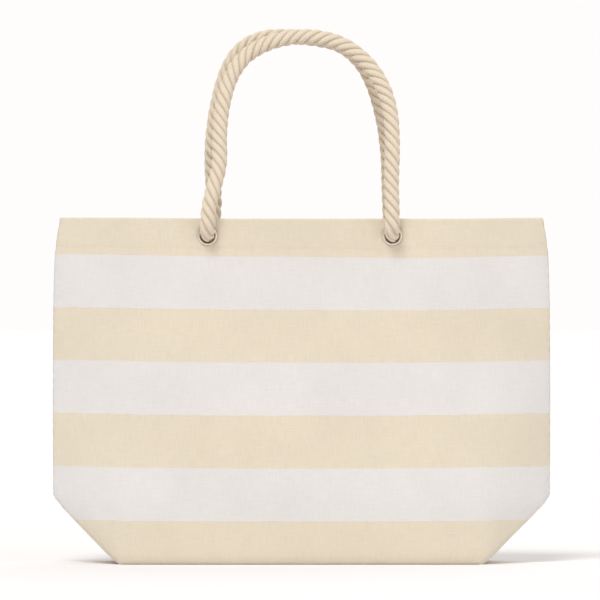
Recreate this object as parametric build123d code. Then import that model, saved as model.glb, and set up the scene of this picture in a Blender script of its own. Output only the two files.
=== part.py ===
from build123d import *
import os
from math import pi, radians, tan

# Beach bag: an open canvas tote with a boxed base, metal eyelets and two rope handles.
# Frame: +Z up, +X to the bag's right as seen from the front, -Y towards the front.
# The origin is the centre of the base, on the floor. All sizes are in millimetres.

# Driving dimensions of the canvas body
BASE_LENGTH = 397.0
BASE_DEPTH = 143.0
BAG_HEIGHT = 374.0
FULL_WIDTH = 540.0
MOUTH_WIDTH = 524.0
MOUTH_DEPTH = 96.0
CANVAS = 1.5
HEM_HEIGHT = 36.0

# Seams inside the bag: raw edges folded in and bound with tape
SEAM_WIDTH = 10.0
SEAM_THICKNESS = 3.0
SEAM_NOSE = 0.25
SEAM_TAPER = 4.0
SIDE_SEAM_FOOT = 8.0
BASE_SEAM_GAP = 2.0

# Eyelets
EYELET_SPACING = 200.0
EYELET_DROP = 19.0
EYELET_BORE = 16.0
EYELET_DIAMETER = 21.0
BARREL_WALL = 0.8
BARREL_HOLE_GAP = 0.1
FLANGE_EDGE = 0.3
FLANGE_LIP = 0.7
FLANGE_CROWN = 1.7
WASHER_THICKNESS = 0.9
CLINCH_WIDTH = 1.0
CLINCH_THICKNESS = 0.6

# Rope handles
ROPE_DIAMETER = 17.0
NECK_DIAMETER = 15.4
HINGE_GAP = 0.5
KNOT_DIAMETER = 40.0
TAIL_LENGTH = 46.0

ROPE_RADIUS = ROPE_DIAMETER / 2
EYELET_HEIGHT = BAG_HEIGHT - EYELET_DROP
EYELET_X = EYELET_SPACING / 2
HALF_MOUTH = MOUTH_DEPTH / 2
HINGE_Y = HALF_MOUTH + FLANGE_CROWN + HINGE_GAP + ROPE_RADIUS

# The body's outline at a height: half width at the side seam, half depth at the middle,
# half length of the flat middle, and half depth of the end wall. The end wall narrows from the
# base's depth to nothing where the 45 degree corner ends, half a base depth above the floor.
NARROW_END = CANVAS + 0.3
BODY_LEVELS = [
    (0.0, 196.0, 68.0, 188.0, 62.0),
    (5.0, 203.0, BASE_DEPTH / 2, 187.0, 61.0),
    (66.0, 265.0, 70.5, 160.0, 6.0),
    (74.0, FULL_WIDTH / 2 - 0.5, 70.0, 156.0, NARROW_END),
    (175.0, FULL_WIDTH / 2, 61.0, 124.0, NARROW_END),
    (280.0, FULL_WIDTH / 2 - 0.5, 51.0, 120.0, NARROW_END),
    (332.0, FULL_WIDTH / 2 - 2.0, HALF_MOUTH, 120.0, NARROW_END),
    (350.0, FULL_WIDTH / 2 - 4.0, HALF_MOUTH, 120.0, NARROW_END),
    (BAG_HEIGHT, MOUTH_WIDTH / 2, HALF_MOUTH, 120.0, NARROW_END),
]

# Each handle's route, from its left eyelet over the top to its right one. A front handle leans
# back over the mouth and a back handle leans forward, until they nearly touch at the top.
FRONT_ROUTE = [
    (-100, -HINGE_Y, EYELET_HEIGHT),
    (-98, -60, 389),
    (-88, -53, 428),
    (-88, -39, 470),
    (-81, -23, 516),
    (-66, -13, 550),
    (-36, -9.6, 570),
    (4, -9.2, 574),
    (44, -10, 566),
    (76, -16, 541),
    (94, -29, 501),
    (97, -45, 458),
    (96, -57, 412),
    (98.5, -60, 378),
    (100, -HINGE_Y, EYELET_HEIGHT),
]
BACK_ROUTE = [
    (-100, HINGE_Y, EYELET_HEIGHT),
    (-93, 60, 387),
    (-95, 53, 428),
    (-95, 39, 470),
    (-86, 22, 516),
    (-68, 12, 552),
    (-32, 9.4, 570.5),
    (12, 9.2, 573),
    (48, 11, 560),
    (74, 19, 531),
    (89, 32, 491),
    (96, 47, 449),
    (97, 58, 406),
    (98, 60, 376),
    (100, HINGE_Y, EYELET_HEIGHT),
]


def shape_at(height):
    """The outline's four sizes at a height, between the two nearest levels."""
    for low, high in zip(BODY_LEVELS, BODY_LEVELS[1:]):
        if height <= high[0]:
            break
    share = (height - low[0]) / (high[0] - low[0])
    return [a + share * (b - a) for a, b in zip(low[1:], high[1:])]


def outline(height, inset):
    """The closed outline of the bag at a height, moved inwards by an inset."""
    seam, depth, flat, end = shape_at(height)
    x = seam - inset
    y = depth - inset
    e = max(end - inset, SEAM_NOSE + 0.05)
    mid = (flat + x) / 2
    z = height
    return Wire([
        Line((-flat, -y, z), (flat, -y, z)),
        Bezier((flat, -y, z), (mid, -y, z), (x, -e, z)),
        Line((x, -e, z), (x, e, z)),
        Bezier((x, e, z), (mid, y, z), (flat, y, z)),
        Line((flat, y, z), (-flat, y, z)),
        Bezier((-flat, y, z), (-mid, y, z), (-x, e, z)),
        Line((-x, e, z), (-x, -e, z)),
        Bezier((-x, -e, z), (-mid, -y, z), (-flat, -y, z)),
    ])


def body_solid(bottom, top, inset):
    """Everything inside the body's outline between two heights."""
    between = [level[0] for level in BODY_LEVELS if bottom < level[0] < top]
    heights = [bottom, *between, top]
    return Solid.make_loft([outline(height, inset) for height in heights], ruled=True)


def half_space(side):
    """The half of space in front of (-1) or behind (+1) the plane through the side seams."""
    room = 2 * FULL_WIDTH
    return Pos(0, side * room / 2, room / 2 - 1) * Box(room, room, room)


def canvas_panel(side):
    """Front or back canvas: the wall with half of each end and half of the base."""
    outside = body_solid(0, BAG_HEIGHT, 0)
    inside = body_solid(CANVAS, BAG_HEIGHT, CANVAS)
    return (outside - inside) & half_space(side)


def mouth_hem(side):
    """The canvas turned inside along the mouth, one more layer behind the panel."""
    bottom = BAG_HEIGHT - HEM_HEIGHT
    outside = body_solid(bottom, BAG_HEIGHT, CANVAS)
    inside = body_solid(bottom, BAG_HEIGHT, 2 * CANVAS)
    return (outside - inside) & half_space(side)


def side_seam(side):
    """Bound seam allowance that stands inside the bag along a side seam."""
    half = SEAM_THICKNESS / 2
    top = BAG_HEIGHT - HEM_HEIGHT - 1
    between = [level[0] for level in BODY_LEVELS if SIDE_SEAM_FOOT < level[0] < top]
    sections = []
    for z in [SIDE_SEAM_FOOT, *between, top]:
        root = shape_at(z)[0] - CANVAS
        taper = root - SEAM_TAPER
        tip = taper - SEAM_WIDTH
        corners = [(root, -SEAM_NOSE), (root, SEAM_NOSE), (taper, half), (tip, half),
                   (tip, -half), (taper, -half)]
        points = [(side * x, y, z) for x, y in corners]
        sections.append(Wire.make_polygon(points, close=True))
    return Solid.make_loft(sections, ruled=True)


def corner_seam(side):
    """Bound seam allowance across one end of the base."""
    tip = shape_at(CANVAS)[0] - CANVAS
    length = 2 * shape_at(CANVAS)[3] - 2 * CANVAS
    seam = Box(SEAM_WIDTH, length, SEAM_THICKNESS, align=(Align.MAX, Align.CENTER, Align.MIN))
    place = Pos(tip, 0, CANVAS)
    return place * seam if side > 0 else mirror(place * seam, about=Plane.YZ)


def base_seam():
    """Bound seam allowance along the middle of the base."""
    tip = shape_at(CANVAS)[0] - CANVAS - SEAM_WIDTH - BASE_SEAM_GAP
    seam = Box(2 * tip, SEAM_WIDTH, SEAM_THICKNESS, align=(Align.CENTER, Align.CENTER, Align.MIN))
    return Pos(0, 0, CANVAS) * seam


def facing(side, x):
    """A place on the mouth's outer face at eyelet height, with +Z pointing out of the bag."""
    return Pos(x, side * HALF_MOUTH, EYELET_HEIGHT) * Rot(-side * 90, 0, 0)


def ring(points):
    """A ring turned from a closed profile of radius and height."""
    profile = make_face(Polyline(*[(r, 0, z) for r, z in points], close=True))
    return revolve(profile, axis=Axis.Z)


def eyelet():
    """Outer half of an eyelet: a crowned flange, and a barrel clinched over the washer."""
    bore = EYELET_BORE / 2
    outer = EYELET_DIAMETER / 2
    barrel = bore + BARREL_WALL
    clinch_top = -2 * CANVAS - WASHER_THICKNESS
    clinch_bottom = clinch_top - CLINCH_THICKNESS
    crown = ThreePointArc(
        (bore, 0, FLANGE_LIP),
        ((bore + outer) / 2, 0, FLANGE_CROWN),
        (outer, 0, FLANGE_EDGE),
    )
    sides = Polyline(
        (outer, 0, FLANGE_EDGE),
        (outer, 0, 0),
        (barrel, 0, 0),
        (barrel, 0, clinch_top),
        (barrel + CLINCH_WIDTH, 0, clinch_top),
        (barrel + CLINCH_WIDTH, 0, clinch_bottom),
        (bore, 0, clinch_bottom),
        (bore, 0, FLANGE_LIP),
    )
    return revolve(make_face([crown, *sides.edges()]), axis=Axis.Z)


def washer():
    """Inner half of an eyelet: a flat washer behind the hem."""
    inner = EYELET_BORE / 2 + BARREL_WALL + BARREL_HOLE_GAP / 2
    outer = EYELET_DIAMETER / 2
    top = -2 * CANVAS
    bottom = top - WASHER_THICKNESS
    return ring([(inner, top), (outer, top), (outer, bottom), (inner, bottom)])


def eyelet_holes(side):
    """Round holes through the panel and its hem for both barrels."""
    radius = EYELET_BORE / 2 + BARREL_WALL + BARREL_HOLE_GAP
    length = 8 * CANVAS
    hole = Cylinder(radius, length)
    return [facing(side, x) * hole for x in (-EYELET_X, EYELET_X)]


def stopper_knot():
    """The rope's end: its neck in the eyelet, an overhand knot and a tail that hangs down."""
    behind = -2 * CANVAS - WASHER_THICKNESS - CLINCH_THICKNESS
    centre = behind - KNOT_DIAMETER / 2
    neck = Pos(0, 0, centre) * Cylinder(
        NECK_DIAMETER / 2, FLANGE_CROWN - centre, align=(Align.CENTER, Align.CENTER, Align.MIN)
    )
    knot = Pos(0, 0, centre) * Sphere(KNOT_DIAMETER / 2)
    return knot + neck, centre


def placed_knot(side, x):
    """A stopper knot at one eyelet, with its tail hanging down inside the bag."""
    knot, centre = stopper_knot()
    middle = side * (HALF_MOUTH + centre)
    tail = Cylinder(ROPE_RADIUS, TAIL_LENGTH, align=(Align.CENTER, Align.CENTER, Align.MAX))
    return facing(side, x) * knot + Pos(x, middle, EYELET_HEIGHT) * tail


def bend_radii(points):
    """An arc for each corner of a route, as large as its two runs allow."""
    runs = [b - a for a, b in zip(points, points[1:])]
    radii = []
    for before, after in zip(runs, runs[1:]):
        half_turn = radians(before.get_angle(after)) / 2
        radii.append(0.45 * min(before.length, after.length) / tan(half_turn))
    return radii


def handle_rope(route):
    """A rope handle: a tube along its route, with a ball on the hinge line at each end."""
    points = [Vector(*point) for point in route]
    radii = bend_radii(points)
    path = FilletPolyline(*points, radius=radii)
    start = Plane(origin=points[0], z_dir=points[1] - points[0])
    tube = sweep(start * Circle(ROPE_RADIUS), path=path)
    exact = path.length * pi * ROPE_RADIUS ** 2
    print(f"rope length {path.length:.1f}, smallest bend {min(radii):.1f},",
          f"volume {tube.volume / exact:.4f} of section times length")
    ends = [Pos(*point) * Sphere(ROPE_RADIUS) for point in (route[0], route[-1])]
    return tube + ends


def write(node, shape):
    """Write one node's STEP file."""
    export_step(shape, f"parts/{node}.step")


os.makedirs("parts", exist_ok=True)

for name, side, route in (("front", -1, FRONT_ROUTE), ("back", 1, BACK_ROUTE)):
    holes = eyelet_holes(side)
    write(f"{name}_panel", canvas_panel(side) - holes)
    write(f"{name}_mouth_hem", mouth_hem(side) - holes)
    write(f"{name}_handle_rope", handle_rope(route))
    for hand, x in (("left", -EYELET_X), ("right", EYELET_X)):
        write(f"{name}_{hand}_eyelet", facing(side, x) * eyelet())
        write(f"{name}_{hand}_eyelet_washer", facing(side, x) * washer())
        write(f"{name}_{hand}_stopper_knot", placed_knot(side, x))

for hand, side in (("left", -1), ("right", 1)):
    write(f"{hand}_side_seam", side_seam(side))
    write(f"{hand}_corner_seam", corner_seam(side))
write("base_seam", base_seam())
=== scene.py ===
import math
import bpy
import numpy as np
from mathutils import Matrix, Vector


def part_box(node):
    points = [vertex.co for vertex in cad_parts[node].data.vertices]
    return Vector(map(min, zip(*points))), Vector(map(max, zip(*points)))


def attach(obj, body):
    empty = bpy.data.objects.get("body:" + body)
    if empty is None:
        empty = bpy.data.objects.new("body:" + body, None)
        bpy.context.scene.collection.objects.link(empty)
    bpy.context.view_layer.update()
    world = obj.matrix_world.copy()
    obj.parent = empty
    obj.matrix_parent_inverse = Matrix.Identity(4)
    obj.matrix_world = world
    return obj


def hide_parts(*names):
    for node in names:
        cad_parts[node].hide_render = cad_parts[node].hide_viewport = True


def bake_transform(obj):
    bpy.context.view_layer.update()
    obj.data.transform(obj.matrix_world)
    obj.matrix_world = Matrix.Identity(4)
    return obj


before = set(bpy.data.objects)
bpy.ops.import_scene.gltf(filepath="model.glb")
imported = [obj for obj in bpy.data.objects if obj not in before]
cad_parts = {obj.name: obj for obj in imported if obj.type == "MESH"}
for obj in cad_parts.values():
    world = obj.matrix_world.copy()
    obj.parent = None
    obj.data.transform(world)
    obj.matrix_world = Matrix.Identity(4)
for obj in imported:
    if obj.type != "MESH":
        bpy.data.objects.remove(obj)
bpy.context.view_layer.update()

# A beach bag: striped canvas tote with a boxed base, metal eyelets and two laid rope handles.
# Everything is in metres, in the CAD frame: +Z up, -Y to the front, origin under the bag.

MM = 0.001
BAG_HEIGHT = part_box("front_panel")[1][2]
eyelet_low, eyelet_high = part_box("front_right_eyelet")
EYELET_X = (eyelet_low[0] + eyelet_high[0]) / 2
EYELET_Z = (eyelet_low[2] + eyelet_high[2]) / 2
CANVAS = 1.5 * MM
ROPE_DIAMETER = 17 * MM

# ---------------------------------------------------------------- camera and light

# The view is VIEW_WIDTH wide where it crosses the plane VIEW_PLANE in front of the bag's middle
VIEW_WIDTH = 0.6504
VIEW_PLANE = 0.03
CAMERA_DISTANCE = 8.0
CAMERA_HEIGHT = 0.2855
SENSOR_WIDTH = 36


def make_camera():
    """A level camera straight in front of the bag, from far enough away to look nearly flat."""
    data = bpy.data.cameras.new("camera")
    data.sensor_width = SENSOR_WIDTH
    data.lens = SENSOR_WIDTH * (CAMERA_DISTANCE - VIEW_PLANE) / VIEW_WIDTH
    camera = bpy.data.objects.new("camera", data)
    camera.location = (0, -CAMERA_DISTANCE, CAMERA_HEIGHT)
    camera.rotation_euler = (math.pi / 2, 0, 0)
    data.clip_end = 200
    bpy.context.collection.objects.link(camera)
    bpy.context.scene.camera = camera


def sun_light(name, toward, power, spread):
    """Even light from far away, softened over an angle in degrees."""
    data = bpy.data.lights.new(name, "SUN")
    data.energy = power
    data.angle = math.radians(spread)
    light = bpy.data.objects.new(name, data)
    x, y, z = toward
    pitch = math.atan2(math.hypot(x, y), -z)
    light.rotation_euler = (pitch, 0, math.atan2(x, -y) + math.pi)
    bpy.context.collection.objects.link(light)


def make_world():
    """A soft sky that lights the scene, and the colour that the camera sees behind it."""
    world = bpy.data.worlds.new("studio")
    bpy.context.scene.world = world
    world.use_nodes = True
    nodes, links = world.node_tree.nodes, world.node_tree.links
    nodes.clear()
    out = nodes.new("ShaderNodeOutputWorld")
    mix = nodes.new("ShaderNodeMixShader")
    path = nodes.new("ShaderNodeLightPath")
    seen = nodes.new("ShaderNodeBackground")
    seen.inputs["Color"].default_value = (1.02, 0.983, 0.975, 1)
    seen.inputs["Strength"].default_value = 1.0
    light = nodes.new("ShaderNodeBackground")
    light.inputs["Color"].default_value = (1.0, 0.99, 0.975, 1)
    light.inputs["Strength"].default_value = 0.60
    links.new(path.outputs["Is Camera Ray"], mix.inputs["Fac"])
    links.new(light.outputs[0], mix.inputs[1])
    links.new(seen.outputs[0], mix.inputs[2])
    links.new(mix.outputs[0], out.inputs["Surface"])


make_camera()
make_world()
sun_light("key", (0.30, 0.95, -1.20), 1.60, 22)
sun_light("fill", (-0.55, 0.60, -0.45), 0.40, 60)
sun_light("back", (-0.25, -0.85, -0.75), 0.70, 60)
bpy.context.scene.view_settings.view_transform = "Standard"


# ---------------------------------------------------------------- shader helpers

def new_material(name, roughness):
    """A Principled material and a function that adds one node to it."""
    material = bpy.data.materials.new(name)
    material.use_nodes = True
    tree = material.node_tree
    shader = tree.nodes["Principled BSDF"]
    shader.inputs["Roughness"].default_value = roughness

    def add(kind, *inputs, **settings):
        node = tree.nodes.new("ShaderNode" + kind)
        for key, value in settings.items():
            setattr(node, key, value)
        for place, value in enumerate(inputs):
            if value is None:
                continue
            if hasattr(value, "is_output"):
                tree.links.new(value, node.inputs[place])
            else:
                node.inputs[place].default_value = value
        return node.outputs[0]

    return material, tree, shader, add


def math_nodes(add):
    """A function that adds one Math node."""
    return lambda operation, first, second=None: add("Math", first, second, operation=operation)


def cloth_place(tree, add):
    """The cloth UV, then its two parts."""
    cloth = add("UVMap", uv_map="cloth")
    split = tree.nodes.new("ShaderNodeSeparateXYZ")
    tree.links.new(cloth, split.inputs[0])
    return cloth, split.outputs[0], split.outputs[1]


def paint(tree, shader, color=None, bump_height=None, distance=0.0002, strength=1.0):
    """Connects a colour and a height to a Principled shader."""
    if color is not None:
        tree.links.new(color, shader.inputs["Base Color"])
    if bump_height is not None:
        bump = tree.nodes.new("ShaderNodeBump")
        bump.inputs["Distance"].default_value = distance
        bump.inputs["Strength"].default_value = strength
        tree.links.new(bump_height, bump.inputs["Height"])
        tree.links.new(bump.outputs[0], shader.inputs["Normal"])


def mix_color(add, factor, first, second, blend="MIX"):
    """One Mix Color node: factor, then two colours."""
    return add("MixRGB", factor, first, second, blend_type=blend)


# Stripes, measured on the cloth up from the fold under the front
STRIPE = 57.35 * MM
FIRST_STRIPE = 47.2 * MM
YARN = 0.95 * MM
BEIGE = (0.763, 0.680, 0.541, 1)
WHITE = (0.766, 0.742, 0.720, 1)
SLUB_ALONG = 60.0
SLUB_ACROSS = 1100.0


def canvas_material():
    """Plain-woven cotton canvas in broad stripes. Its UV is the cloth's own place in metres."""
    material, tree, shader, add = new_material("canvas", 0.95)
    math_node = math_nodes(add)
    shader.inputs["Sheen Weight"].default_value = 0.25
    shader.inputs["Sheen Roughness"].default_value = 0.6
    shader.inputs["Subsurface Weight"].default_value = 0.35
    shader.inputs["Subsurface Radius"].default_value = (1.0, 0.85, 0.65)
    shader.inputs["Subsurface Scale"].default_value = 0.0018
    shader.inputs["Specular IOR Level"].default_value = 0.25
    cloth, across, up = cloth_place(tree, add)

    # Weave: a rounded crossing in each cell of a grid of threads, with a gap between the cells
    turn = math.pi / YARN
    warp = math_node("SINE", math_node("MULTIPLY", across, turn))
    weft = math_node("SINE", math_node("MULTIPLY", up, turn))
    over = math_node("ABSOLUTE", math_node("MULTIPLY", warp, weft))

    # Slubs: threads of uneven thickness, long one way and thin the other
    slub_place = add("CombineXYZ", math_node("MULTIPLY", across, SLUB_ALONG),
                     math_node("MULTIPLY", up, SLUB_ACROSS))
    slub = add("TexNoise", slub_place, None, 1.0, 2.0, 0.6)
    warp_place = add("CombineXYZ", math_node("MULTIPLY", across, SLUB_ACROSS),
                     math_node("MULTIPLY", up, SLUB_ALONG))
    warp_slub = add("TexNoise", warp_place, None, 1.0, 2.0, 0.6)
    cloud = add("TexNoise", cloth, None, 9.0, 3.0, 0.55)

    # Stripe edges follow the threads, so they wander by less than one thread
    ragged = math_node("MULTIPLY", math_node("SUBTRACT", slub, 0.5), 0.0012)
    place = math_node("ADD", up, ragged)
    phase = math_node("DIVIDE", math_node("SUBTRACT", place, FIRST_STRIPE), 2 * STRIPE)
    white_part = math_node("LESS_THAN", math_node("FRACT", phase), 0.5)
    stripe = mix_color(add, white_part, BEIGE, WHITE)
    threads = math_node("ADD", math_node("MULTIPLY", slub, 0.5),
                        math_node("MULTIPLY", warp_slub, 0.5))
    shade = add("MapRange", threads, 0.3, 0.7, 0.93, 1.05)
    tint = add("MapRange", cloud, 0.3, 0.7, 0.965, 1.02)
    # Painted shade: the cloth's colour is darker in the gaps between the thread crossings
    gap = add("MapRange", over, 0.0, 0.5, 0.86, 1.0)
    value = math_node("MULTIPLY", math_node("MULTIPLY", shade, tint), gap)
    color = mix_color(add, 1.0, stripe, value, "MULTIPLY")
    height = math_node("ADD", over, math_node("MULTIPLY", threads, 1.2))
    paint(tree, shader, color, height, 0.00025, 0.6)
    return material


ROPE_COLOR = (0.740, 0.632, 0.492, 1)
YARNS = 11.0
YARN_TWIST = 190.0


def rope_material():
    """Laid cotton: fine yarns that wind round each strand. UV is metres along and turns round."""
    material, tree, shader, add = new_material("rope_cotton", 0.95)
    math_node = math_nodes(add)
    shader.inputs["Sheen Weight"].default_value = 0.3
    shader.inputs["Sheen Roughness"].default_value = 0.5
    shader.inputs["Specular IOR Level"].default_value = 0.2
    cloth, along, round_turns = cloth_place(tree, add)
    wander_place = add("CombineXYZ", math_node("MULTIPLY", along, 70.0),
                       math_node("MULTIPLY", round_turns, 3.0))
    wander = add("TexNoise", wander_place, None, 1.0, 2.0, 0.5)
    winding = math_node("ADD", math_node("MULTIPLY", round_turns, YARNS),
                        math_node("MULTIPLY", along, YARN_TWIST))
    winding = math_node("ADD", winding, math_node("MULTIPLY", wander, 0.8))
    yarn = math_node("ABSOLUTE", math_node("SINE", math_node("MULTIPLY", winding, math.pi)))
    fibre_place = add("CombineXYZ", math_node("MULTIPLY", winding, 9.0),
                      math_node("MULTIPLY", along, 130.0))
    fibre = add("TexNoise", fibre_place, None, 1.0, 3.0, 0.6)
    height = math_node("ADD", yarn, math_node("MULTIPLY", fibre, 0.7))
    shade = add("MapRange", yarn, 0.0, 0.8, 0.84, 1.02)
    fleck = add("MapRange", fibre, 0.3, 0.7, 0.94, 1.05)
    # Painted shade: each strand's colour is darker where it goes down into the groove beside its
    # neighbour
    off_middle = math_node("ABSOLUTE", math_node("SUBTRACT", round_turns, 0.5))
    aside = math_node("SUBTRACT", 0.5, off_middle)
    groove_shade = add("MapRange", aside, 0.115, 0.17, 1.0, 0.86)
    color_value = math_node("MULTIPLY", math_node("MULTIPLY", shade, fleck), groove_shade)
    color = mix_color(add, 1.0, ROPE_COLOR, color_value, "MULTIPLY")
    paint(tree, shader, color, height, 0.0003, 0.5)
    return material


def metal_material():
    """Polished nickel with faint turning marks and a little tarnish."""
    material, tree, shader, add = new_material("nickel", 0.18)
    shader.inputs["Metallic"].default_value = 1.0
    place = tree.nodes.new("ShaderNodeTexCoord").outputs["Object"]
    fine = add("TexNoise", place, None, 900.0, 3.0, 0.6)
    broad = add("TexNoise", place, None, 160.0, 2.0, 0.5)
    rough = add("MapRange", fine, 0.3, 0.7, 0.14, 0.3)
    tree.links.new(rough, shader.inputs["Roughness"])
    tarnish = add("MapRange", broad, 0.35, 0.7, 0.0, 1.0)
    color = mix_color(add, tarnish, (0.86, 0.81, 0.72, 1), (0.77, 0.71, 0.61, 1))
    paint(tree, shader, color, fine, 0.00003, 0.4)
    return material


def thread_material():
    """Sewing thread in the beige of the cloth."""
    material, tree, shader, add = new_material("thread", 0.8)
    place = tree.nodes.new("ShaderNodeTexCoord").outputs["Object"]
    fleck = add("TexNoise", place, None, 1500.0, 2.0, 0.5)
    color = mix_color(add, fleck, (0.72, 0.61, 0.46, 1), (0.86, 0.77, 0.63, 1))
    paint(tree, shader, color, fleck, 0.0001, 0.6)
    return material


TWILL = 1.1 * MM


def tape_material():
    """Cotton binding tape with a fine twill across it. UV is metres along and round."""
    material, tree, shader, add = new_material("tape", 0.9)
    shader.inputs["Sheen Weight"].default_value = 0.2
    math_node = math_nodes(add)
    cloth, along, around = cloth_place(tree, add)
    slant = math_node("ADD", along, around)
    twill = math_node("SINE", math_node("MULTIPLY", slant, 2 * math.pi / TWILL))
    fleck = add("TexNoise", cloth, None, 700.0, 2.0, 0.6)
    height = math_node("ADD", twill, fleck)
    light = add("MapRange", height, -0.5, 1.8, 0.88, 1.04)
    color = mix_color(add, 1.0, (0.80, 0.71, 0.57, 1), light, "MULTIPLY")
    paint(tree, shader, color, height, 0.00018, 0.6)
    return material


def floor_material():
    """White paper with a faint grain."""
    material, tree, shader, add = new_material("paper", 1.0)
    shader.inputs["Specular IOR Level"].default_value = 0.0
    place = tree.nodes.new("ShaderNodeTexCoord").outputs["Object"]
    grain = add("TexNoise", place, None, 300.0, 2.0, 0.5)
    color = mix_color(add, grain, (0.866, 0.842, 0.840, 1), (0.884, 0.856, 0.854, 1))
    paint(tree, shader, color)
    return material


CANVAS_CLOTH = canvas_material()
ROPE_COTTON = rope_material()
NICKEL = metal_material()
THREAD = thread_material()
TAPE = tape_material()


# ---------------------------------------------------------------- mesh helpers

def new_mesh(name, points, faces, material, uv=None):
    """A smooth mesh object from points and faces. uv is one per point, in metres of cloth."""
    mesh = bpy.data.meshes.new(name)
    mesh.from_pydata(np.asarray(points, float).tolist(), [], [list(map(int, f)) for f in faces])
    mesh.materials.append(material)
    if uv is not None:
        layer = mesh.uv_layers.new(name="cloth")
        corners = np.zeros(len(mesh.loops), int)
        mesh.loops.foreach_get("vertex_index", corners)
        layer.data.foreach_set("uv", np.asarray(uv, float)[corners].ravel())
    mesh.polygons.foreach_set("use_smooth", [True] * len(mesh.polygons))
    mesh.update()
    thing = bpy.data.objects.new(name, mesh)
    bpy.context.collection.objects.link(thing)
    return thing


def grid_faces(rows, columns):
    """Quads over a grid of points stored row by row."""
    r, c = np.meshgrid(np.arange(rows - 1), np.arange(columns - 1), indexing="ij")
    a = r * columns + c
    return np.stack([a, a + 1, a + 1 + columns, a + columns], -1).reshape(-1, 4)


def tube_faces(rings, around):
    """Quads between closed rings of points stored ring by ring, then a cap on each end."""
    r, c = np.meshgrid(np.arange(rings - 1), np.arange(around), indexing="ij")
    d = (c + 1) % around
    quads = np.stack([r * around + c, r * around + d, (r + 1) * around + d, (r + 1) * around + c], -1)
    ring = list(range(around))
    return quads.reshape(-1, 4).tolist() + [ring[::-1], [(rings - 1) * around + k for k in ring]]


def joined(parts):
    """Several (points, faces) pairs as one."""
    points, faces, start = [], [], 0
    for more, more_faces in parts:
        faces += [[start + index for index in face] for face in more_faces]
        points.append(more)
        start += len(more)
    return np.concatenate(points), faces


def unit(vectors):
    """Vectors of length one."""
    return vectors / np.maximum(np.linalg.norm(vectors, axis=-1, keepdims=True), 1e-12)


def travelled(line):
    """The distance along a line at each of its points."""
    return np.r_[0, np.cumsum(np.linalg.norm(np.diff(line, axis=0), axis=1))]


def read_at(at, gone, values):
    """Points or vectors of a line, read at distances along it."""
    return np.stack([np.interp(at, gone, values[:, k]) for k in range(3)], 1)


# ---------------------------------------------------------------- rope handles

# Each handle's control points in millimetres, with one point inside the bag at each end, where the
# rope goes on to its knot. They are part.py's routes, moved a few millimetres to the real rope's curve.
FRONT_ROUTE = [
    (-100, -26, 354), (-100, -64, 353), (-99, -62, 389), (-86, -53, 430), (-88, -39, 470),
    (-81, -23, 516), (-65, -13, 547), (-38, -9.6, 565), (3, -9.2, 573.8), (45, -10, 566.5),
    (78, -16, 540), (97, -29, 502), (100.5, -45, 458), (98.5, -57, 412), (99.5, -64, 382),
    (100, -64, 353), (100, -26, 354),
]
BACK_ROUTE = [
    (-100, 26, 354), (-100, 64, 353), (-92.5, 62, 387), (-97, 53, 428), (-95.5, 39, 470),
    (-86.5, 22, 518), (-72, 12, 553.5), (-44, 9.4, 573), (6, 9.2, 572.3), (49, 11, 564),
    (76, 19, 534), (90, 32, 491), (96.5, 47, 449), (97.5, 58, 406), (98.5, 64, 382),
    (100, 64, 353), (100, 26, 354),
]
STRANDS = 4
LAY_PITCH = 45 * MM
ROPE_END = 46 * MM
STRAND_SEGMENTS = 22
FIRST_SIDE = (0.0, 1.0, 0.1)
# Shares of the rope's radius: how far out a strand lies, and its half height and half width
STRAND_PLACE = 0.535
STRAND_HIGH = 0.465
STRAND_WIDE = 0.425


def smooth_line(route, step):
    """Evenly spaced points on the smooth spline whose control points are the route."""
    data = bpy.data.curves.new("route", "CURVE")
    data.dimensions = "3D"
    data.resolution_u = 24
    spline = data.splines.new("NURBS")
    spline.points.add(len(route) - 1)
    for point, place in zip(spline.points, route):
        point.co = (*[value * MM for value in place], 1)
    spline.order_u = 3
    spline.use_endpoint_u = True
    holder = bpy.data.objects.new("route", data)
    mesh = bpy.data.meshes.new_from_object(holder)
    line = np.array([vertex.co for vertex in mesh.vertices])
    bpy.data.objects.remove(holder)
    bpy.data.meshes.remove(mesh)
    return evenly(line, step)


def evenly(line, step):
    """The same line with points at even steps."""
    keep = np.r_[True, np.linalg.norm(np.diff(line, axis=0), axis=1) > 1e-7]
    line = line[keep]
    gone = travelled(line)
    count = max(2, int(round(gone[-1] / step)) + 1)
    return read_at(np.linspace(0, gone[-1], count), gone, line)


def frames_along(line):
    """Two sides across a line at each of its points, turned as little as possible."""
    tangent = unit(np.gradient(line, axis=0))
    side = np.zeros_like(line)
    side[0] = unit(np.cross(tangent[0], np.cross(FIRST_SIDE, tangent[0])))
    for i in range(1, len(line)):
        side[i] = unit(side[i - 1] - tangent[i] * (side[i - 1] @ tangent[i]))
    return side, np.cross(tangent, side)


def strand_uv(gone):
    """A strand's UV, one for each corner of its faces, so that it has no seam."""
    r, c = np.meshgrid(np.arange(len(gone) - 1), np.arange(STRAND_SEGMENTS), indexing="ij")
    low = c / STRAND_SEGMENTS
    high = low + 1 / STRAND_SEGMENTS
    corners = [(gone[r], low), (gone[r], high), (gone[r + 1], high), (gone[r + 1], low)]
    sides = np.stack([np.stack(corner, -1) for corner in corners], 2).reshape(-1, 2)
    return np.concatenate([sides, np.zeros((2 * STRAND_SEGMENTS, 2))])


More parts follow.
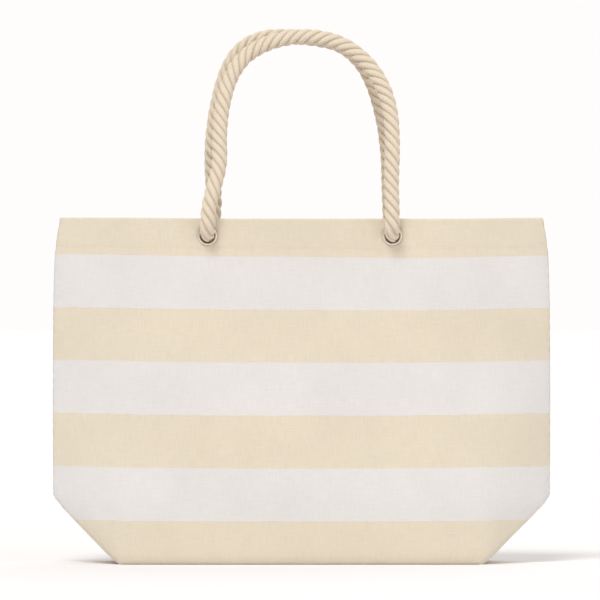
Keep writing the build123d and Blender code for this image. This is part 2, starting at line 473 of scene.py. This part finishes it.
def strand_tubes(line, radius, pitch, seed):
    """Points, faces and UVs of strands that wind left-handed round a line. radius is one per point."""
    side, other = frames_along(line)
    gone = travelled(line)
    rng = np.random.default_rng(seed)
    angle = np.linspace(0, 2 * np.pi, STRAND_SEGMENTS, endpoint=False)[None, :, None]
    tubes, uv = [], []
    for k in range(STRANDS):
        wobble = np.interp(gone, np.linspace(0, gone[-1], 12), rng.uniform(-0.09, 0.09, 12))
        turn = -2 * np.pi * gone / pitch + 2 * np.pi * k / STRANDS + wobble
        out = np.cos(turn)[:, None] * side + np.sin(turn)[:, None] * other
        swell = 1 + 0.02 * np.sin(gone / (0.031 + 0.004 * k) + 2 * k)
        centre = line + out * (STRAND_PLACE * radius)[:, None]
        along = unit(np.gradient(centre, axis=0))
        high = unit(out - along * (out * along).sum(1)[:, None])
        wide = np.cross(along, high)
        rings = (centre[:, None]
                 + (STRAND_HIGH * radius * swell)[:, None, None] * np.cos(angle) * high[:, None]
                 + (STRAND_WIDE * radius * swell)[:, None, None] * np.sin(angle) * wide[:, None])
        tubes.append((rings.reshape(-1, 3), tube_faces(len(line), STRAND_SEGMENTS)))
        uv.append(strand_uv(travelled(centre)))
    return *joined(tubes), np.concatenate(uv)


def rope_mesh(name, line, radius, pitch, seed):
    """A rope's mesh object."""
    points, faces, uv = strand_tubes(line, radius, pitch, seed)
    thing = new_mesh(name, points, faces, ROPE_COTTON)
    layer = thing.data.uv_layers.new(name="cloth")
    layer.data.foreach_set("uv", uv.ravel())
    return thing


def squeezed(line, side):
    """The rope's radius along a line: a little smaller where an eyelet holds it."""
    eyelets = [np.array([x, side * 48.5 * MM, EYELET_Z]) for x in (-EYELET_X, EYELET_X)]
    near = np.min([np.linalg.norm(line - eyelet, axis=1) for eyelet in eyelets], axis=0)
    hold = np.exp(-((near / (9 * MM)) ** 2))
    return ROPE_DIAMETER / 2 * (1 - 0.12 * hold)


def handle(name, side, route, seed):
    """One rope handle and its line."""
    line = smooth_line(route, 1.5 * MM)
    inside = (np.abs(line[:, 1]) < ROPE_END) & (line[:, 2] < 365 * MM)
    line = line[~inside]
    rope = rope_mesh(f"{name}_rope_handle", line, squeezed(line, side), LAY_PITCH, seed)
    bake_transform(rope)
    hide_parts(f"{name}_handle_rope")
    return rope, line


front_rope, front_line = handle("front", -1, FRONT_ROUTE, 3)
back_rope, back_line = handle("back", 1, BACK_ROUTE, 8)


# ---------------------------------------------------------------- canvas shell

# The bag's outline at a height, as in part.py, in millimetres: half width at the side seam,
# half depth at the middle, half length of the flat middle, and half depth of the end wall
NARROW_END = 1.8
BODY_LEVELS = np.array([
    (0, 196, 68, 188, 62),
    (5, 203, 71.5, 187, 61),
    (66, 265, 70.5, 160, 6),
    (74, 269.5, 70, 156, NARROW_END),
    (175, 270, 61, 124, NARROW_END),
    (280, 269.5, 51, 120, NARROW_END),
    (332, 268, 48, 120, NARROW_END),
    (350, 266, 48, 120, NARROW_END),
    (374, 262, 48, 120, NARROW_END),
])
CLOTH_WIDTH = 540 * MM
CORNER_CELLS = 24
MIDDLE_CELLS = 132
COLUMNS = MIDDLE_CELLS + 2 * CORNER_CELLS + 1
MIDDLE = slice(CORNER_CELLS, CORNER_CELLS + MIDDLE_CELLS + 1)
CELL = CLOTH_WIDTH / (COLUMNS - 1)
WALL_TOP = BAG_HEIGHT - 1.5 * MM
FOLD = 1.56 * MM                   # the radius of the fold along the mouth
FOLD_STEPS = 7
WALL_ROWS = 126
HEM_WIDTH = 0.036
HEM_FOOT = BAG_HEIGHT - HEM_WIDTH
HEM_OFFSET = 1.56 * MM
HEM_THICKNESS = 1.38 * MM
HEM_BACK = 2.95 * MM               # from the wall's face to the hem's, where the inner stitches lie
STITCH_HEIGHT = HEM_FOOT + 3.5 * MM
SEAM_GROOVE = 1.1 * MM
EYELET_HOLE = 9.4 * MM
SEAM_Y = -0.02 * MM                # the front's cloth stays this side of the side seams
ACROSS = np.linspace(0, CLOTH_WIDTH, COLUMNS)


def outline(height):
    """One row of the front cloth, from the left side seam round to the right one."""
    seam, depth, flat, end = (np.interp(height, BODY_LEVELS[:, 0] * MM, BODY_LEVELS[:, k]) * MM
                              for k in (1, 2, 3, 4))
    t = np.linspace(0, 1, 60)
    middle = (flat + seam) / 2
    bend_x = (1 - t) ** 2 * flat + 2 * t * (1 - t) * middle + t ** 2 * seam
    bend_y = (1 - t) ** 2 * depth + 2 * t * (1 - t) * depth + t ** 2 * end
    x = np.r_[0, bend_x, seam]
    y = np.r_[depth, bend_y, 0]
    gone = np.r_[0, np.cumsum(np.hypot(np.diff(x), np.diff(y)))]
    place = 2 * ACROSS / CLOTH_WIDTH - 1
    at = np.abs(place) * gone[-1]
    row_x = np.sign(place) * np.interp(at, gone, x)
    row_y = -np.interp(at, gone, y)
    return np.stack([row_x, row_y, np.full(COLUMNS, height)], 1)


# Where the eyelets are on the flat cloth
EYELET_ACROSS = np.interp((-EYELET_X, EYELET_X), outline(EYELET_Z)[:, 0], ACROSS)


def ramp(value, low, high):
    """0 at low, 1 at high, smooth between."""
    share = np.clip((value - low) / (high - low), 0, 1)
    return share * share * (3 - 2 * share)


def ripples(s, h, length, seed, turns=(0, math.pi)):
    """Smooth, repeatable unevenness of about one unit, whose waves are about a length long."""
    rng = np.random.default_rng(seed)
    total = 0
    for _ in range(7):
        turn = rng.uniform(*turns)
        wave = length * rng.uniform(0.7, 1.6)
        phase = rng.uniform(0, 2 * math.pi)
        total = total + np.sin(2 * math.pi * (s * math.cos(turn) + h * math.sin(turn)) / wave + phase)
    return total / 2.6


def relaxed(grid, rounds):
    """A grid of points with its creases softened and its edges kept."""
    for _ in range(rounds):
        inner = (grid[:-2, 1:-1] + grid[2:, 1:-1] + grid[1:-1, :-2] + grid[1:-1, 2:]) / 4
        grid[1:-1, 1:-1] += 0.5 * (inner - grid[1:-1, 1:-1])
    return grid


def grid_normals(grid):
    """Normals that point out of the bag, for a grid with rows that rise and columns to the right."""
    along = np.gradient(grid, axis=1)
    up = np.gradient(grid, axis=0)
    return unit(np.cross(along, up))


def droop(s):
    """How far the mouth hangs below its mean height: its corners stand up and its middle sags."""
    share = s / CLOTH_WIDTH
    return 1.6 * MM * ramp(share, 0.0, 0.42) * (1 - 0.8 * ramp(share, 0.82, 1.0)) - 1.2 * MM


def near_eyelet(s, h):
    """Distance to the nearest eyelet on the cloth, and the direction from it."""
    gaps = [np.hypot(s - place, h - EYELET_Z) for place in EYELET_ACROSS]
    turns = [np.arctan2(h - EYELET_Z, s - place) for place in EYELET_ACROSS]
    first = gaps[0] < gaps[1]
    return np.where(first, *gaps), np.where(first, *turns)


def cloth_relief(s, h, seed, softness):
    """How far the cloth stands out of its even shape, in metres."""
    from_seam = np.minimum(s, CLOTH_WIDTH - s)
    gap, turn = near_eyelet(s, h)

    # Soft waves, where the cloth is free
    free = ramp(from_seam, 0.0, 0.06) * ramp(h, 0.0, 0.05) * (1 - 0.65 * ramp(h, 0.30, 0.345))
    free = free * (1 - np.exp(-(gap / 0.026) ** 2))
    waves = 1.15 * ripples(s, h, 0.16, seed) + 0.45 * ripples(s, h, 0.055, seed + 1, (-0.5, 0.5))
    relief = free * waves * softness * MM

    # Puckers along the side seams and the hem's stitch row
    pucker = np.sin(2 * math.pi * h / 0.0115 + 1.4 * ripples(s, h, 0.05, seed + 2))
    by_seam = np.exp(-((from_seam - 0.004) / 0.007) ** 2) * ramp(h, 0.01, 0.03)
    relief = relief + 0.34 * MM * pucker * by_seam
    row = np.exp(-((h - STITCH_HEIGHT) / 0.0035) ** 2)
    relief = relief - row * (0.22 + 0.13 * ripples(s, h, 0.012, seed + 3, (0, 0.2))) * MM

    # Creases round each eyelet, and drag lines beside it
    creases = np.cos(7 * turn + seed) + 0.6 * np.cos(4 * turn + 2 * seed)
    pulled = np.exp(-((gap - 0.013) / 0.011) ** 2) * ramp(gap, 0.0105, 0.014)
    relief = relief + 0.34 * MM * creases * pulled
    drag = np.exp(-((gap - 0.03) / 0.02) ** 2) * np.cos(turn) ** 8
    relief = relief + 0.55 * MM * np.cos(2 * math.pi * (s - 0.004) / 0.019) * drag * (gap > 0.012)
    return relief


def front_cloth(seed, softness):
    """The front wall and half of the base as two grids of points, with the cloth's own places."""
    heights = np.linspace(0, WALL_TOP, WALL_ROWS)
    wall = np.array([outline(height) for height in heights])
    wall[1:, 0, 0] += SEAM_GROOVE
    wall[1:, -1, 0] -= SEAM_GROOVE

    # The base is a smooth patch between the wall's lowest row, its ends and the base seam
    foot = wall[0]
    across = np.linspace(0, 1, MIDDLE_CELLS + 1)[None, :, None]
    inward = np.linspace(0, 1, CORNER_CELLS + 1)[:, None, None]
    edge = foot[MIDDLE]
    left = foot[:CORNER_CELLS + 1][::-1]
    right = foot[CORNER_CELLS + MIDDLE_CELLS:]
    middle = left[-1] + across[0] * (right[-1] - left[-1])
    base = ((1 - inward) * edge + inward * middle
            + (1 - across) * left[:, None] + across * right[:, None])
    corners = ((1 - inward) * (1 - across) * left[0] + (1 - inward) * across * right[0]
               + inward * (1 - across) * left[-1] + inward * across * right[-1])
    base = base - corners

    # Wall and base are softened together where they meet
    wall = relaxed(wall, 8)
    strip = np.concatenate([base[::-1], wall[1:, MIDDLE]])
    strip = relaxed(strip, 5)
    base = strip[:CORNER_CELLS + 1][::-1]
    wall[1:, CORNER_CELLS + 1:CORNER_CELLS + MIDDLE_CELLS] = strip[CORNER_CELLS + 1:, 1:-1]
    wall[0, MIDDLE] = base[0]

    s, h = np.meshgrid(ACROSS, heights)
    normals = grid_normals(wall)
    wall = wall + normals * cloth_relief(s, h, seed, softness)[..., None]
    wall[..., 1] = np.minimum(wall[..., 1], SEAM_Y)
    wall[..., 2] -= droop(s) * (h / WALL_TOP) ** 2
    wall[..., 2] = np.maximum(wall[..., 2], 0)
    return wall, base, s, h


def stripe_height(s, h, seed):
    """The height that the stripes follow: they sink a little where the cloth was cut askew."""
    share = s / CLOTH_WIDTH
    askew = 1.0 * ramp(share, 0.0, 0.4) + 2.3 * np.exp(-((share - 0.72) / 0.16) ** 2)
    askew = askew * MM * (np.clip(h, 0, BAG_HEIGHT) / BAG_HEIGHT) ** 1.5
    wander = 0.8 * MM * np.sin(2 * math.pi * share * 1.1 + seed) * np.sin(math.pi * h / BAG_HEIGHT)
    return h + askew + wander


def cut_eyelets(points, faces):
    """The faces with a round hole at each eyelet. The points at a hole's edge move onto its circle."""
    keep = np.ones(len(faces), bool)
    for place in (-EYELET_X, EYELET_X):
        gap = points[:, [0, 2]] - (place, EYELET_Z)
        far = np.linalg.norm(gap, axis=1)
        inside = (far[faces] < EYELET_HOLE).any(1)
        edge = np.setdiff1d(np.unique(faces[inside]), np.where(far < EYELET_HOLE)[0])
        keep &= ~inside
        pull = gap[edge] * (EYELET_HOLE / far[edge] - 1)[:, None]
        points[edge, 0] += pull[:, 0]
        points[edge, 2] += pull[:, 1]
    return faces[keep]


def uneven(points):
    """The bag as it was really sewn: a few millimetres wider past its right eyelets."""
    points = np.array(points, float)
    points[:, 0] += 3.4 * MM * ramp(points[:, 0], 0.10, 0.26)
    return points


def placed(points, side):
    """Points of the front cloth where they belong, turned half round for the back."""
    return uneven(points if side < 0 else points * (-1, -1, 1))


def canvas_panel(name, side, seed, softness):
    """Front or back cloth: wall, folded mouth edge and half of the base, in one piece."""
    wall, base, s, h = front_cloth(seed, softness)
    normals = grid_normals(wall)
    top = wall[-1]
    inward = -unit(normals[-1] * (1, 1, 0))
    fold, fold_h = [], []
    for turn in np.linspace(0, math.pi, FOLD_STEPS + 1)[1:]:
        rise = np.array([0, 0, FOLD * math.sin(turn)])
        fold.append(top + inward * FOLD * (1 - math.cos(turn)) + rise)
        fold_h.append(WALL_TOP + FOLD * turn)
    # The fold goes on down behind the wall and ends over the hem's first rows
    for row in (-2, -3):
        fold.append(wall[row] + inward * 2 * FOLD)
        fold_h.append(fold_h[FOLD_STEPS - 1] + WALL_TOP - h[row, 0])
    fold = np.array(fold)
    fold[..., 1] = np.minimum(fold[..., 1], SEAM_Y)
    rows = np.concatenate([wall, fold])
    row_s = np.tile(ACROSS, (len(rows), 1))
    row_h = np.concatenate([h, np.tile(np.array(fold_h)[:, None], (1, COLUMNS))])
    faces = grid_faces(len(rows), COLUMNS)
    points = rows.reshape(-1, 3).copy()
    faces = cut_eyelets(points, faces)

    # The base shares its outer points with the wall's lowest row
    wall_index = np.arange(COLUMNS)
    base_index = np.full(base.shape[:2], -1)
    base_index[0] = wall_index[MIDDLE]
    base_index[:, 0] = wall_index[:CORNER_CELLS + 1][::-1]
    base_index[:, -1] = wall_index[CORNER_CELLS + MIDDLE_CELLS:]
    new = base_index < 0
    base_index[new] = len(points) + np.arange(new.sum())
    base_faces = np.stack([base_index[1:, :-1], base_index[1:, 1:],
                           base_index[:-1, 1:], base_index[:-1, :-1]], -1).reshape(-1, 4)
    base_s, base_h = np.meshgrid(ACROSS[MIDDLE], -CELL * np.arange(CORNER_CELLS + 1))
    points = np.concatenate([points, base[new]])
    all_s = np.concatenate([row_s.ravel(), base_s[new]])
    all_h = np.concatenate([row_h.ravel(), base_h[new]])
    uv = np.stack([all_s, stripe_height(all_s, all_h, seed)], 1)
    every = np.concatenate([faces, base_faces])
    panel = new_mesh(f"{name}_canvas", placed(points, side), every, CANVAS_CLOTH, uv)
    base_corner_uv(panel, base_faces, base_s, base_h, base_index, len(faces))
    thicken(panel, CANVAS)
    settle(panel, "canvas", f"{name}_panel")
    return wall, s, h


def base_corner_uv(panel, base_faces, base_s, base_h, base_index, first):
    """Gives the base its own places in the cloth, since it shares its end points with the end walls."""
    place = {}
    for index, s, h in zip(base_index.ravel(), base_s.ravel(), base_h.ravel()):
        place[int(index)] = (s, h)
    layer = panel.data.uv_layers["cloth"].data
    for polygon in panel.data.polygons[first:]:
        for loop in polygon.loop_indices:
            layer[loop].uv = place[panel.data.loops[loop].vertex_index]


def thicken(thing, thickness):
    """Gives a sheet its thickness on the inner side."""
    solidify = thing.modifiers.new("thickness", "SOLIDIFY")
    solidify.thickness = thickness
    solidify.offset = -1
    solidify.use_even_offset = False


def settle(thing, slot, *nodes):
    """A piece rides on the bag and stands for CAD nodes, which it hides. slot is not used."""
    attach(thing, "bag")
    if nodes:
        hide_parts(*nodes)


def mouth_hem(name, side, wall, s, h):
    """The cloth turned inside along the mouth."""
    normals = grid_normals(wall)
    heights = h[:, 0]
    rows = np.where((heights > HEM_FOOT - 0.5 * MM) & (heights < BAG_HEIGHT - 4 * MM))[0]
    sheet = wall[rows] - normals[rows] * HEM_OFFSET
    sheet[..., 1] = np.minimum(sheet[..., 1], 5 * SEAM_Y)
    points = sheet[:, 1:-1].reshape(-1, 3).copy()
    faces = cut_eyelets(points, grid_faces(len(rows), COLUMNS - 2))
    turned = 2 * BAG_HEIGHT - h[rows][:, 1:-1]
    uv = np.stack([s[rows][:, 1:-1].ravel(), turned.ravel()], 1)
    hem = new_mesh(f"{name}_hem", placed(points, side), faces, CANVAS_CLOTH, uv)
    thicken(hem, HEM_THICKNESS)
    settle(hem, "canvas", f"{name}_mouth_hem")


STITCH_PITCH = 3.2 * MM
STITCH_SHARE = 0.8
STITCH_RINGS = 6
THREAD_WIDTH = 0.5 * MM


def stitch_row(line, normals):
    """A row of stitches: short rounded threads that lie along a line and dip in at both ends."""
    gone = travelled(line)
    angle = np.linspace(0, 2 * math.pi, STITCH_RINGS, endpoint=False)[None, :, None]
    share = np.linspace(0, 1, STITCH_RINGS)
    swell = np.sqrt(np.clip(1 - (2 * share - 1) ** 4, 0.05, 1))
    stitches = []
    for k in range(int(gone[-1] / STITCH_PITCH)):
        at = (k + 0.1 + STITCH_SHARE * share) * STITCH_PITCH
        centre = read_at(at, gone, line)
        out = unit(read_at(at, gone, normals))
        wide = np.cross(unit(centre[-1] - centre[0]), out)
        centre = centre + out * (THREAD_WIDTH * 0.35 * swell - THREAD_WIDTH * 0.2)[:, None]
        around = np.cos(angle) * out[:, None] + np.sin(angle) * wide[:, None]
        rings = centre[:, None] + (THREAD_WIDTH / 2 * swell)[:, None, None] * around
        stitches.append((rings.reshape(-1, 3), tube_faces(STITCH_RINGS, STITCH_RINGS)))
    return joined(stitches)


def stitching(name, side, wall, h):
    """Both faces of the stitch row that holds the mouth hem."""
    row = np.argmin(np.abs(h[:, 0] - STITCH_HEIGHT))
    normals = grid_normals(wall)[row, 1:-1]
    line = wall[row, 1:-1]
    points, faces = joined([stitch_row(line, normals), stitch_row(line - normals * HEM_BACK, -normals)])
    thread = new_mesh(f"{name}_hem_stitches", placed(points, side), faces, THREAD)
    settle(thread, "seam_tape")


for name, side, seed, softness in (("front", -1, 11, 1.0), ("back", 1, 37, 1.8)):
    wall, s, h = canvas_panel(name, side, seed, softness)
    mouth_hem(name, side, wall, s, h)
    stitching(name, side, wall, h)


# ---------------------------------------------------------------- seams inside the bag

SEAM_WIDTH = 10 * MM
SEAM_THICKNESS = 3 * MM
SEAM_FOOT = 9 * MM
SEAM_STEP = 3 * MM


def flat_tape(width, half):
    """The outline of a flat tape, half a thickness to each side, and its two stitch rows."""
    edge = width / 2
    lower = [(-edge, 0), (-edge + 0.4 * MM, -half * 0.7), (-edge + 1.4 * MM, -half),
             (0, -half * 0.86), (edge - 1.4 * MM, -half), (edge - 0.4 * MM, -half * 0.7)]
    rows = ((-edge + 1.9 * MM, half), (edge - 1.9 * MM, half))
    return np.array(lower + [(-x, -y) for x, y in lower]), rows


def folded_tape(width, half):
    """The outline of a seam allowance with tape folded over it, and its stitch row on each face."""
    tip = width + 4 * MM
    row = 7.4 * MM
    lower = [(-0.3 * MM, -0.35 * MM), (1.6 * MM, -0.6 * MM), (3.2 * MM, -half * 0.62),
             (4.2 * MM, -half * 0.95), (5.4 * MM, -half), (row, -half * 0.86),
             (tip - 3.4 * MM, -half), (tip - 1.2 * MM, -half * 0.98), (tip - 0.35 * MM, -half * 0.62)]
    section = lower + [(tip, 0)] + [(x, -y) for x, y in lower[::-1]]
    return np.array(section), ((row, half * 0.88), (row, -half * 0.88))


def bound_seam(name, root, inward, across, seed, width=SEAM_WIDTH, shape=folded_tape):
    """A seam's binding: a soft strip along a line, with rows of stitches."""
    line = uneven(root)
    if np.cross(inward, across) @ (line[-1] - line[0]) < 0:
        line = line[::-1]
    gone = travelled(line)
    count = max(2, int(gone[-1] / SEAM_STEP))
    at = np.linspace(0, gone[-1], count)
    path = read_at(at, gone, line)
    inward = np.tile(np.asarray(inward, float), (count, 1))
    across = np.tile(np.asarray(across, float), (count, 1))
    section, rows = shape(width, SEAM_THICKNESS / 2)
    wave = 0.35 * MM * ripples(at, 0 * at, 0.05, seed, (0, 0.1))
    sway = 0.45 * MM * ripples(at, 0 * at, 0.09, seed + 1, (0, 0.1))
    reach = np.clip(section[:, 0] / width, 0, 1)
    rings = (path[:, None] + inward[:, None] * (section[:, 0] + wave[:, None] * reach)[..., None]
             + across[:, None] * (section[:, 1] + sway[:, None] * reach)[..., None])
    size = len(section)
    round_tape = np.tile(np.linspace(0, 0.03, size), (count, 1))
    uv = np.stack([np.tile(at[:, None], (1, size)), round_tape], -1)
    tape = new_mesh(name, rings.reshape(-1, 3), tube_faces(count, size), TAPE, uv.reshape(-1, 2))
    settle(tape, "seam_tape", name.replace("_binding", ""))

    stitched = []
    for place, height in rows:
        seam = path + inward * (place + wave * min(1, place / width))[:, None]
        seam = seam + across * (height + sway * np.clip(place / width, 0, 1))[:, None]
        stitched.append(stitch_row(seam, across * math.copysign(1, height)))
    thread = new_mesh(f"{name}_stitches", *joined(stitched), THREAD)
    settle(thread, "seam_tape")


def seams():
    """The bindings of the side seams, the corner seams and the base seam."""
    heights = np.linspace(SEAM_FOOT, HEM_FOOT - 1 * MM, 60)
    reach = np.interp(heights, BODY_LEVELS[:, 0] * MM, BODY_LEVELS[:, 1]) * MM - CANVAS - SEAM_GROOVE
    for hand, side in (("left", -1), ("right", 1)):
        inward = (-side, 0, 0)
        line = np.stack([side * reach, 0 * reach, heights], 1)
        bound_seam(f"{hand}_side_seam_binding", line, inward, (0, 1, 0), 5 + side)
        low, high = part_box(f"{hand}_corner_seam")
        root = (low[0] if side < 0 else high[0]) + side * 3 * MM
        height = (low[2] + high[2]) / 2
        line = [(root, low[1] + 1 * MM, height), (root, high[1] - 1 * MM, height)]
        bound_seam(f"{hand}_corner_seam_binding", line, inward, (0, 0, 1), 9 + side,
                   width=SEAM_WIDTH - 1 * MM)
    low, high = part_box("base_seam")
    height = (low[2] + high[2]) / 2
    line = [(low[0] + 1 * MM, 0, height), (high[0] - 1 * MM, 0, height)]
    bound_seam("base_seam_binding", line, (0, 1, 0), (0, 0, 1), 14, shape=flat_tape)


seams()


# ---------------------------------------------------------------- stopper knots

# Each rope end has an overhand knot behind its eyelet. The knot starts loose and is pulled tight,
# and its tail is then let down between the knot and the middle of the bag.
KNOT_ROPE = 12.6 * MM
KNOT_COVER = 1.0 * MM              # how much thicker the rope looks than the line's contact makes it
KNOT_ROOM = 43.1 * MM
KNOT_PITCH = 40 * MM
WASHER_BACK = 43.5 * MM
PULL_ROUNDS = 920
FAST_ROUNDS = 420
LET_DOWN_ROUNDS = 500


def settle_rope(line, rest, near, held=0):
    """One round of contact between a rope's parts, then of even spacing. The first held points stay."""
    kept = line[:held].copy()
    gaps = line[None] - line[:, None]
    far = np.sqrt(np.einsum("ijk,ijk->ij", gaps, gaps)) + 1e-9
    press = np.where(near & (far < KNOT_ROPE), (KNOT_ROPE - far) / far, 0) * 0.3
    line = line - np.einsum("ij,ijk->ik", press, gaps)
    for first in (0, 1, 0, 1):
        start = np.arange(first, len(line) - 1, 2)
        span = line[start + 1] - line[start]
        long = np.linalg.norm(span, axis=1)
        share = ((long - rest) / 2 / long)[:, None] * span
        line[start] += share
        line[start + 1] -= share
        line[:held] = kept
    return line


def loose_knot():
    """An open overhand knot with long straight ends. Its first end lies along Y."""
    t = np.linspace(-2.12, 2.12, 600)
    loose = np.stack([t ** 3 - 3 * t, t ** 4 - 4 * t ** 2, t ** 5 / 5 - 2 * t], 1) * 9.5 * MM
    ends = [loose[i] + unit(loose[i] - loose[j]) * 50 * MM for i, j in ((0, 1), (-1, -2))]
    loose = np.concatenate([ends[:1], loose, ends[1:]])
    forward = unit(ends[1] - ends[0])
    up = unit(np.array([0, 0, 1]) - forward * forward[2])
    return (loose - loose[0]) @ np.stack([np.cross(forward, up), forward, up], 1)


def knot_line():
    """A tight overhand knot's centre line. The rope comes in along +Y, and its tail hangs down."""
    line = evenly(loose_knot(), 0.42 * KNOT_ROPE)
    rest = float(np.linalg.norm(line[1] - line[0]))
    index = np.arange(len(line))
    near = np.abs(index[None] - index[:, None]) > math.ceil(1.4 * KNOT_ROPE / rest)

    for step in range(PULL_ROUNDS):
        pull = (2.2 if step < FAST_ROUNDS else 0.9) * MM
        line[0] = (0, line[0, 1] - pull, 0)
        line[-1] = (0, line[-1, 1] + pull, 0)
        line[1:-1] += 0.01 * ((line[:-2] + line[2:]) / 2 - line[1:-1])
        for _ in range(2):
            line = settle_rope(line, rest, near)

    # Only the knot is kept, with a short way in and a tail, and the loops start past the washer
    far = np.linalg.norm(line[None] - line[:, None], axis=2)
    touching = np.where(((far < 1.04 * KNOT_ROPE) & near).any(1))[0]
    begin, end = touching[0] - 4, touching[-1] + 12
    loops_begin = line[touching[0] + 6:touching[-1] - 5, 1].min()
    line = line[begin:end]
    near = near[begin:end, begin:end]
    line[:, 1] -= loops_begin - KNOT_ROPE / 2
    line[:, 0] -= np.interp(-2 * MM, line[:6, 1], line[:6, 0])

    # The tail comes down, and the knot's body stays
    held = touching[-1] - 3 - begin
    for _ in range(LET_DOWN_ROUNDS):
        line[held:, 2] -= 0.16 * MM
        line[held + 6:, 0] += 0.03 * MM
        line[held + 1:-1] += 0.05 * ((line[held:-2] + line[held + 2:]) / 2 - line[held + 1:-1])
        line[held:, 1] = np.minimum(line[held:, 1], KNOT_ROOM - KNOT_ROPE / 2)
        for _ in range(2):
            line = settle_rope(line, rest, near, held)
    return line


def smooth_evenly(line, step):
    """A line of coarse points made finer and softer."""
    line = evenly(line, step)
    for _ in range(30):
        line[1:-1] += 0.5 * ((line[:-2] + line[2:]) / 2 - line[1:-1])
    return evenly(line, step)


def stopper_knot(name, side, hand, line, lean, seed):
    """A knot at one eyelet. lean is -1 or +1, the way its body lies."""
    points = line * (lean, 1, 1)
    points = points[points[:, 1] > -6 * MM]
    points = points[points[:, 2] > -(46 + seed % 7) * MM]
    points = smooth_evenly(points, 1.5 * MM)
    place = points * (1, -side, 1) + (hand * EYELET_X, side * WASHER_BACK, EYELET_Z)
    to_end = np.minimum(1, np.linspace(1, 0, len(place)) * len(place) / 3)
    radius = (KNOT_ROPE + KNOT_COVER) / 2 * np.sqrt(np.clip(1 - (1 - to_end) ** 2, 0.3, 1))
    knot = rope_mesh(f"{name}_knot", place, radius, KNOT_PITCH, seed)
    settle(knot, "rope", f"{name}_stopper_knot")


KNOT_LINE = knot_line()
for word, side in (("front", -1), ("back", 1)):
    for hand_word, hand in (("left", -1), ("right", 1)):
        knot_seed = 20 + 3 * hand + side
        stopper_knot(f"{word}_{hand_word}", side, hand, KNOT_LINE, hand * -side, knot_seed)


# ---------------------------------------------------------------- eyelets

def shine_eyelets():
    """The eyelets and washers keep their CAD shapes and get polished nickel."""
    for side in ("front", "back"):
        for hand in ("left", "right"):
            for node in (f"{side}_{hand}_eyelet", f"{side}_{hand}_eyelet_washer"):
                for slot in bpy.data.objects[node].material_slots:
                    slot.material = NICKEL


shine_eyelets()


# ---------------------------------------------------------------- floor

FLOOR_REACH = 60


def make_floor():
    """A wide plain sheet of paper that the bag stands on."""
    mesh = bpy.data.meshes.new("floor")
    corners = [(x * FLOOR_REACH, y * FLOOR_REACH, 0) for x, y in ((-1, -1), (1, -1), (1, 1), (-1, 1))]
    mesh.from_pydata(corners, [], [(0, 1, 2, 3)])
    floor = bpy.data.objects.new("floor", mesh)
    mesh.materials.append(floor_material())
    bpy.context.collection.objects.link(floor)


make_floor()
